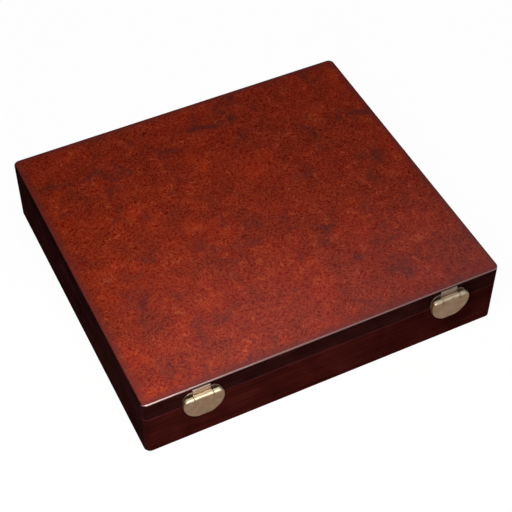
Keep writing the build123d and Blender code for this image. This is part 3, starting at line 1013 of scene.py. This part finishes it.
@dataclass
class FoamBlocks:
    """The foam in the base and lid: plain underlays, beds with a groove for each stick, and the lid's pad."""

    grooves: int = 20
    groove_top: float = 10.4
    groove_floor: float = 4.0
    groove_depth: float = 3.0
    softness: float = 0.7
    steps_per_groove: int = 14
    plain_steps: int = 30
    depth_steps: int = 24
    height_steps: int = 8
    crowding: float = 2.2
    crease: float = 60.0

    def crowded(self, tree: Tree, value: Socket, half: Socket) -> Node:
        """Moves the inner vertices outwards, so that the edges have close rings to be rounded by.

        Args:
            tree: The recipe's tree.
            value: A vertex's distance from the middle.
            half: Half of the block's size that way.

        Returns:
            The new distance.
        """
        share = add(tree, MATH, (value, half), operation="DIVIDE")
        left = add(tree, MATH, (1.0, add(tree, MATH, (share,), operation="ABSOLUTE")), operation="SUBTRACT")
        rest = add(tree, MATH, (left, self.crowding), operation="POWER")
        eased = add(tree, MATH, (1.0, rest), operation="SUBTRACT")
        signed = add(tree, MATH, (add(tree, MATH, (share,), operation="SIGN"), eased), operation="MULTIPLY")
        return add(tree, MATH, (signed, half), operation="MULTIPLY")

    def rounded(self, tree: Tree, place: Node, half: Node, softness: Socket) -> Node:
        """Rounds the block's edges, by pulling each vertex to within their radius of a smaller block inside.

        Args:
            tree: The recipe's tree.
            place: A vertex's place.
            half: Half of the block's size.
            softness: The edges' radius.

        Returns:
            The new place.
        """
        high = add(tree, VECTOR_MATH, (half, softness), operation="SUBTRACT")
        low = add(tree, VECTOR_MATH, (high, -1.0), operation="SCALE")
        raised = add(tree, VECTOR_MATH, (place, low), operation="MAXIMUM")
        core = add(tree, VECTOR_MATH, (raised, high), operation="MINIMUM")
        away = add(tree, VECTOR_MATH, (place, core), operation="SUBTRACT")
        held = add(tree, MATH, (add(tree, VECTOR_MATH, (away,), operation="LENGTH"), softness), operation="MINIMUM")
        pull = add(tree, VECTOR_MATH, (add(tree, VECTOR_MATH, (away,), operation="NORMALIZE"), held), operation="SCALE")
        return add(tree, VECTOR_MATH, (core, pull), operation="ADD")

    def groove(self, recipe: Recipe, x: Socket, half_x: Socket) -> Node:
        """Gives the share of the groove's depth that a vertex of the top is lowered by.

        Args:
            recipe: The tree.
            x: The vertex's place across the grooves.
            half_x: Half of the block's width.

        Returns:
            The share, 1 over a groove's floor and 0 between grooves.
        """
        tree, given = recipe.tree, recipe.given
        pitch = add(tree, MATH, (given["Width"], given["Grooves"]), operation="DIVIDE")
        count = add(tree, MATH, (add(tree, MATH, (x, half_x), operation="ADD"), pitch), operation="DIVIDE")
        turn = add(tree, MATH, (add(tree, MATH, (count,), operation="FRACT"), 0.5), operation="SUBTRACT")
        off = add(tree, MATH, (add(tree, MATH, (turn,), operation="ABSOLUTE"), pitch), operation="MULTIPLY")
        top, floor = (
            add(tree, MATH, (given[label], 0.5), operation="MULTIPLY") for label in ("Groove Top", "Groove Floor")
        )
        return add(tree, MAP_RANGE, (off, top, floor), **SMOOTH)

    def recipe(self) -> Recipe:
        """Builds the tree that turns a size into a block with softened edges and a grooved top.

        Returns:
            The tree.
        """
        sizes = ("Width", "Depth", "Height", "Groove Top", "Groove Floor", "Groove Depth", "Softness")
        recipe = Recipe("foam_block_recipe", sizes, ("Grooves", "Vertices"), "Foam")
        tree, given = recipe.tree, recipe.given
        size = add(tree, COMBINE_XYZ, (given["Width"], given["Depth"], given["Height"]))
        counts = (given["Vertices"], self.depth_steps + 1, self.height_steps + 1)
        block = add(tree, "GeometryNodeMeshCube", (size, *counts))
        half = add(tree, VECTOR_MATH, (size, 0.5), operation="SCALE")
        half_x, half_y, half_z = add(tree, SEPARATE_XYZ, (half,)).outputs
        x, y, z = add(tree, SEPARATE_XYZ, (add(tree, "GeometryNodeInputPosition"),)).outputs
        y, z = self.crowded(tree, y, half_y), self.crowded(tree, z, half_z)
        rounded = self.rounded(tree, add(tree, COMBINE_XYZ, (x, y, z)), half, given["Softness"])
        upper = add(tree, MATH, (add(tree, MATH, (z, half_z), operation="DIVIDE"), 0.0), operation="MAXIMUM")
        share = add(tree, MATH, (self.groove(recipe, x, half_x), upper), operation="MULTIPLY")
        down = add(tree, MATH, (given["Groove Depth"], -1.0), operation="MULTIPLY")
        sunk = add(tree, COMBINE_XYZ, {"Z": add(tree, MATH, (share, down), operation="MULTIPLY")})
        shaped = add(tree, "GeometryNodeSetPosition", {"Geometry": block, "Position": rounded, "Offset": sunk})
        recipe.end(add(tree, INSTANCES, {"Points": given["Geometry"], "Instance": shaped}))
        return recipe

    def build(self, recipe: Recipe, node: str, grooved: bool, body: Body) -> None:
        """Builds one foam block in its solid's place.

        Args:
            recipe: The block's tree.
            node: The solid that it stands for.
            grooved: True for a bed with grooves.
            body: The body that it rides on.
        """
        low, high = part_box(node)
        size = high - low
        middle = (low + high) / 2
        steps = self.grooves * self.steps_per_groove if grooved else self.plain_steps
        piece = recipe.make(node + "_block", [middle / MM], {
            "Width": size.x, "Depth": size.y, "Height": size.z, "Grooves": self.grooves, "Vertices": steps + 1,
            "Groove Top": self.groove_top * MM, "Groove Floor": self.groove_floor * MM,
            "Groove Depth": self.groove_depth * MM if grooved else 0.0,
            "Softness": self.softness * MM, "Foam": FOAM.material(),
        }, self.crease)
        finished(piece, node, FOAM, body)


@dataclass
class Case:
    """The wooden case: mitred walls, top and bottom panels and dividers.

    The top panel's faces are veneer where their normal's Z is above flat_from, and the polished rim where it leans
    to the front by more than rim_from.
    """

    nodes: Mapping[str, Object]
    corner_radius: float = 5.0
    edge_radius: float = 1.5
    edge_steps: int = 8
    corner_steps: int = 12
    crease: float = 40.0
    flat_from: float = 0.9
    rim_from: float = 0.35

    def outline(self, corner: Vector, height: float, inset: float) -> list[Vector]:
        """Gives the top panel's outline at a height.

        Args:
            corner: The panel's back right corner.
            height: The outline's height.
            inset: How far it lies inside the panel's sides.

        Returns:
            Its places, in metres.
        """
        radius = self.corner_radius - inset
        places = []
        for quarter, (right, back) in enumerate(((1, 1), (-1, 1), (-1, -1), (1, -1))):
            x, y = right * (corner.x - self.corner_radius), back * (corner.y - self.corner_radius)
            for i in range(self.corner_steps + 1):
                angle = QUARTER_TURN * (quarter + i / self.corner_steps)
                places.append(Vector((x + radius * math.cos(angle), y + radius * math.sin(angle), height)) * MM)
        return places

    def zone(self, normal: Vector) -> int:
        """Gives a face's material: 0 for the veneer, 1 for its rim in front and 2 for the stained sides."""
        if normal.y < -self.rim_from and normal.z > self.rim_from:
            return 1
        return 0 if normal.z > self.flat_from else 2

    def veneered_panel(self) -> None:
        """Builds the lid's top panel, whose upper edge is rounded and whose sides are stained like the walls."""
        low, high = (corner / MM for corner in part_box("lid_top_panel"))
        rings = [self.outline(high, low.z, 0.0)]
        for i in range(self.edge_steps + 1):
            angle = QUARTER_TURN * i / self.edge_steps
            drop, inset = self.edge_radius * (1 - math.sin(angle)), self.edge_radius * (1 - math.cos(angle))
            rings.append(self.outline(high, high.z - drop, inset))
        mesh = stitched(rings, closed=True)
        shade_smooth(mesh, self.crease)
        piece = with_even_shading(linked("lid_veneered_panel", mesh))
        finished(piece, "lid_top_panel", VENEER, Body.LID)
        for finish in (VENEER_RIM, LID_ALONG_X):
            piece.data.materials.append(finish.material())
        for face in piece.data.polygons:
            face.material_index = self.zone(face.normal)

    def walls(self, prefix: str, body: Body, along_x: Finish, along_y: Finish) -> None:
        """Builds four walls.

        Args:
            prefix: The first part of their nodes' names.
            body: The body that they ride on.
            along_x: The finish of the front and back.
            along_y: The finish of the two sides.
        """
        for side, finish in (("front", along_x), ("back", along_x), ("left", along_y), ("right", along_y)):
            node = f"{prefix}_{side}_wall"
            piece = refined(self.nodes[node], node + "_board", 0.0)
            finished(piece, node, finish, body)

    def build(self) -> None:
        """Builds the case's pieces."""
        self.walls("base", Body.BASE, BASE_ALONG_X, BASE_ALONG_Y)
        self.walls("lid", Body.LID, LID_ALONG_X, LID_ALONG_Y)
        self.veneered_panel()
        for node in ("bottom_panel", "front_divider", "rear_divider"):
            repainted(self.nodes[node], INSIDE_ALONG_X)


@dataclass
class Clasps:
    """The two lever clasps: strike plates, base plates, levers, pins and nails."""

    nodes: Mapping[str, Object]
    x: float = 104.0
    front: float = -138.0
    plate: float = 0.6
    nail_spread: float = 10.4
    strike_nail_height: float = 44.4
    base_nail_height: float = 35.6
    strike_softness: float = 0.12
    plate_softness: float = 0.08
    lever_softness: float = 0.1
    pin_softness: float = 0.1
    plate_crease: float = 40.0
    lever_crease: float = 50.0

    def nails(self, name: str, node: str, height: float, body: Body) -> None:
        """Builds four nails.

        Args:
            name: The piece's name.
            node: The solid that they stand for.
            height: Their height above the table.
            body: The body that they ride on.
        """
        places = [
            (side * self.x + end * self.nail_spread, self.front - self.plate, height)
            for side in (-1, 1) for end in (-1, 1)
        ]
        Nails(name, node, places, body, QUARTER_TURN).build()

    def build(self) -> None:
        """Builds the clasps' pieces."""
        for side, lever_body in (("left", Body.LEFT_LEVER), ("right", Body.RIGHT_LEVER)):
            pieces = (
                ("strike_plate", Body.LID, PLATE_NICKEL, self.strike_softness, self.plate_crease),
                ("clasp_base_plate", Body.BASE, PLATE_NICKEL, self.plate_softness, self.plate_crease),
                ("clasp_lever", lever_body, LEVER_NICKEL, self.lever_softness, self.lever_crease),
            )
            for form, body, finish, softness, crease in pieces:
                node = f"{side}_{form}"
                piece = refined(self.nodes[node], node + "_pressing", softness, crease)
                finished(piece, node, finish, body)
            node = f"{side}_clasp_pin"
            piece = refined(self.nodes[node], node + "_wire", self.pin_softness)
            finished(piece, node, PIN_STEEL, Body.BASE)
        self.nails("strike_nail_set", "strike_nails", self.strike_nail_height, Body.LID)
        self.nails("base_plate_nail_set", "clasp_base_nails", self.base_nail_height, Body.BASE)


@dataclass
class Hinges:
    """The two butt hinges: leaves, pins and countersunk screws."""

    nodes: Mapping[str, Object]
    x: float = 95.0
    back: float = 138.0
    leaf_width: float = 7.0
    pitch: float = 11.0
    base_rim: float = 39.9
    lid_rim: float = 40.1
    softness: float = 0.08

    def screws(self, name: str, node: str, height: float, tilt: float, body: Body) -> None:
        """Builds six screws.

        Args:
            name: The piece's name.
            node: The solid that they stand for.
            height: The height of their heads.
            tilt: The turn about X that points them into the wood.
            body: The body that they ride on.
        """
        y = self.back - self.leaf_width / 2
        places = [(side * self.x + i * self.pitch, y, height) for side in (-1, 1) for i in (-1, 0, 1)]
        Screws(name, node, places, body, tilt).build()

    def build(self) -> None:
        """Builds the hinges' pieces."""
        for side in ("left", "right"):
            for form, body in (("base_leaf", Body.BASE), ("lid_leaf", Body.LID), ("pin", Body.BASE)):
                node = f"{side}_hinge_{form}"
                piece = refined(self.nodes[node], node + "_plated", self.softness)
                finished(piece, node, HINGE_BRASS, body)
        self.screws("base_hinge_screw_set", "base_hinge_screws", self.base_rim, 0.0, Body.BASE)
        self.screws("lid_hinge_screw_set", "lid_hinge_screws", self.lid_rim, math.pi, Body.LID)


@dataclass(frozen=True)
class Lamp:
    """A lamp that points at a place in the middle of the box, or one that hangs level."""

    name: str
    kind: str
    place: Triple
    power: float
    tint: str
    settings: Mapping[str, Any]
    level: bool = False
    target: Triple = (0.0, 0.0, 0.04)

    def build(self) -> None:
        """Adds the lamp."""
        data = bpy.data.lights.new(self.name, self.kind)
        data.energy = self.power
        data.color = linear(self.tint)[:3]
        for key, value in self.settings.items():
            setattr(data, key, value)
        lamp = bpy.data.objects.new(self.name, data)
        lamp.location = self.place
        if not self.level:
            back = Vector(self.place) - Vector(self.target)
            lamp.rotation_euler = back.to_track_quat("Z", "Y").to_euler()
        bpy.context.scene.collection.objects.link(lamp)


@dataclass
class Studio:
    """The paper floor, the lamps and the camera at the photograph's angle, in metres and degrees.

    A large soft light hangs overhead, two lamps stand in front, and two behind give the lid its sheen. Only the
    camera's focal length and sensor are in millimetres.
    """

    floor_radius: float = 12.0
    backdrop_height: float = 3.0
    bend_radius: float = 2.0
    bend_steps: int = 8
    floor_sides: int = 64
    lamps: tuple[Lamp, ...] = (
        Lamp("overhead_softbox", "SUN", (0.38, -0.34, 1.94), 0.59, "#ffffff", {"angle": math.radians(18.0)}),
        Lamp("front_lamp", "AREA", (-0.15, -0.25, 0.45), 1.5, "#fff8f2", {"shape": "DISK", "size": 0.20}),
        Lamp("low_lamp", "AREA", (-0.17, -0.36, 0.26), 0.88, "#fff2ea", {"shape": "DISK", "size": 0.16}),
        Lamp(
            "sheen_lamp", "AREA", (0.47, 0.48, 1.0), 1.85, "#dce8ff",
            {"shape": "RECTANGLE", "size": 0.82, "size_y": 0.28}, level=True,
        ),
        Lamp("lip_lamp", "AREA", (0.17, 0.48, 1.0), 0.4, "#ffffff", {"shape": "DISK", "size": 0.42}),
    )
    world_tint: str = "#ffffff"
    world_level: float = 0.1
    camera_place: Triple = (-0.31661, -0.66223, 0.83486)
    camera_turn: Triple = (41.515, 0.0, -26.082)
    focal_length: float = 93.725
    sensor: float = 36.0
    far_limit: float = 100.0

    def floor(self) -> None:
        """Builds the floor, which curves up into a low backdrop."""
        profile = [(self.floor_radius, self.backdrop_height)]
        for i in reversed(range(self.bend_steps + 1)):
            angle = QUARTER_TURN * i / self.bend_steps
            inset, rise = self.bend_radius * (1 - math.sin(angle)), self.bend_radius * (1 - math.cos(angle))
            profile.append((self.floor_radius - inset, rise))
        angles = [math.tau * i / self.floor_sides for i in range(self.floor_sides)]
        mesh = stitched([[(r * math.cos(a), r * math.sin(a), z) for a in angles] for r, z in profile], closed=False)
        for face in mesh.faces:
            face.smooth = True
        piece = linked("studio_floor", mesh)
        piece.data.materials.append(PAPER.material())

    def world(self) -> None:
        """Adds the even light of the room."""
        world = bpy.data.worlds.new("studio_air")
        world.use_nodes = True
        back = world.node_tree.nodes["Background"]
        back.inputs["Color"].default_value = linear(self.world_tint)
        back.inputs["Strength"].default_value = self.world_level
        bpy.context.scene.world = world

    def camera(self) -> None:
        """Adds the camera."""
        data = bpy.data.cameras.new("camera")
        data.lens = self.focal_length
        data.sensor_width = self.sensor
        data.clip_end = self.far_limit
        camera = bpy.data.objects.new("camera", data)
        camera.location = self.camera_place
        camera.rotation_euler = [math.radians(a) for a in self.camera_turn]
        bpy.context.scene.collection.objects.link(camera)
        bpy.context.scene.camera = camera

    def build(self) -> None:
        """Builds the studio."""
        self.floor()
        for lamp in self.lamps:
            lamp.build()
        self.world()
        self.camera()
        bpy.context.scene.view_settings.view_transform = "Standard"


def main() -> None:
    """Loads the frame and builds every part of the scene in order."""
    logging.basicConfig(level=logging.INFO, format="%(message)s")
    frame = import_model()
    nodes = frame["nodes"]
    Case(nodes).build()
    Clasps(nodes).build()
    Hinges(nodes).build()
    foam = FoamBlocks()
    recipe = foam.recipe()
    for row in ("front", "middle", "rear"):
        foam.build(recipe, f"{row}_foam_underlay", False, Body.BASE)
        foam.build(recipe, f"{row}_foam_bed", True, Body.BASE)
    foam.build(recipe, "lid_foam_pad", False, Body.LID)
    Studio().build()


if __name__ == "__main__":
    main()
